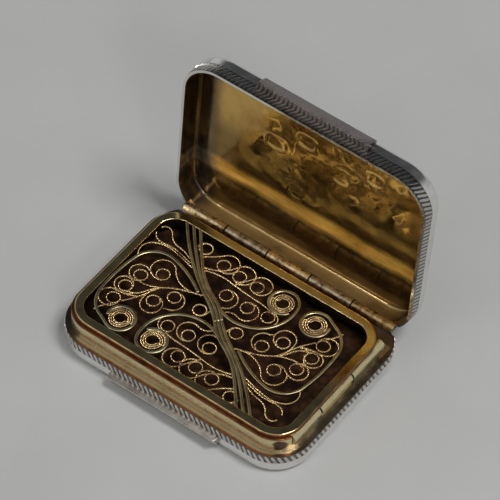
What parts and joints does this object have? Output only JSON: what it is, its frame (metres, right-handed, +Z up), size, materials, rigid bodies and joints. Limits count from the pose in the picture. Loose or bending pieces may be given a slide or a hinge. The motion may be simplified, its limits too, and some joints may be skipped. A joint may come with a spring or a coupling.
{
  "type": "vinaigrette",
  "caption": "Small silver vinaigrette with a milled side band, a hinged lid and a gilt filigree grille that hinges over a scent sponge.",
  "frame": {"origin": "centre of the closed box's outline on the underside it rests on", "axes": "+X along the long side towards the grille's hinge, +Y towards the lid's hinge at the back, +Z up"},
  "size_m": [0.038, 0.0336, 0.0315],
  "materials": {
    "silver": "polished silver, lightly worn; gilt inside on the lid and the hinge",
    "gilt": "satin gilding, worn",
    "pin_wire": "drawn wire",
    "sponge": "old natural sponge, porous and brown"
  },
  "bodies": {
    "base": {"base_plate": "silver", "base_band": "silver", "base_thumb_lip": "silver", "bezel": "gilt", "hinge_gallery": "silver", "base_knuckle_left": "silver", "base_knuckle_right": "silver", "lid_hinge_pin": "silver", "sponge": "sponge", "grille_knuckle_front": "gilt", "grille_knuckle_rear": "gilt", "grille_hinge_pin": "pin_wire"},
    "lid": {"lid_plate": "silver", "lid_band": "silver", "lid_thumb_lip": "silver", "lid_knuckle_left": "silver", "lid_knuckle_centre": "silver", "lid_knuckle_right": "silver"},
    "grille": {"grille_frame": "gilt", "grille_knuckle_centre": "gilt", "stem_centre_strip": "gilt", "stem_upper_strip": "gilt", "stem_lower_strip": "gilt", "scroll_upper": "gilt", "scroll_lower": "gilt", "scroll_right": "gilt", "scroll_left": "gilt", "coil_upper": "gilt", "coil_right": "gilt", "coil_lower": "gilt", "coil_left": "gilt", "curls_back": "gilt", "curls_right": "gilt", "curls_back_corner": "gilt", "curls_front": "gilt", "curls_left": "gilt", "curls_front_corner": "gilt"}
  },
  "joints": [
    {"name": "lid_hinge", "type": "hinge", "parent": "base", "child": "lid", "pos_m": [0, 0.0131, 0.0034], "axis": [-1, 0, 0], "range_deg": [-93.2, 0]},
    {"name": "grille_hinge", "type": "hinge", "parent": "base", "child": "grille", "pos_m": [0.01747, 0, 0.00519], "axis": [0, 1, 0], "range_deg": [0, 0.5]}
  ]
}
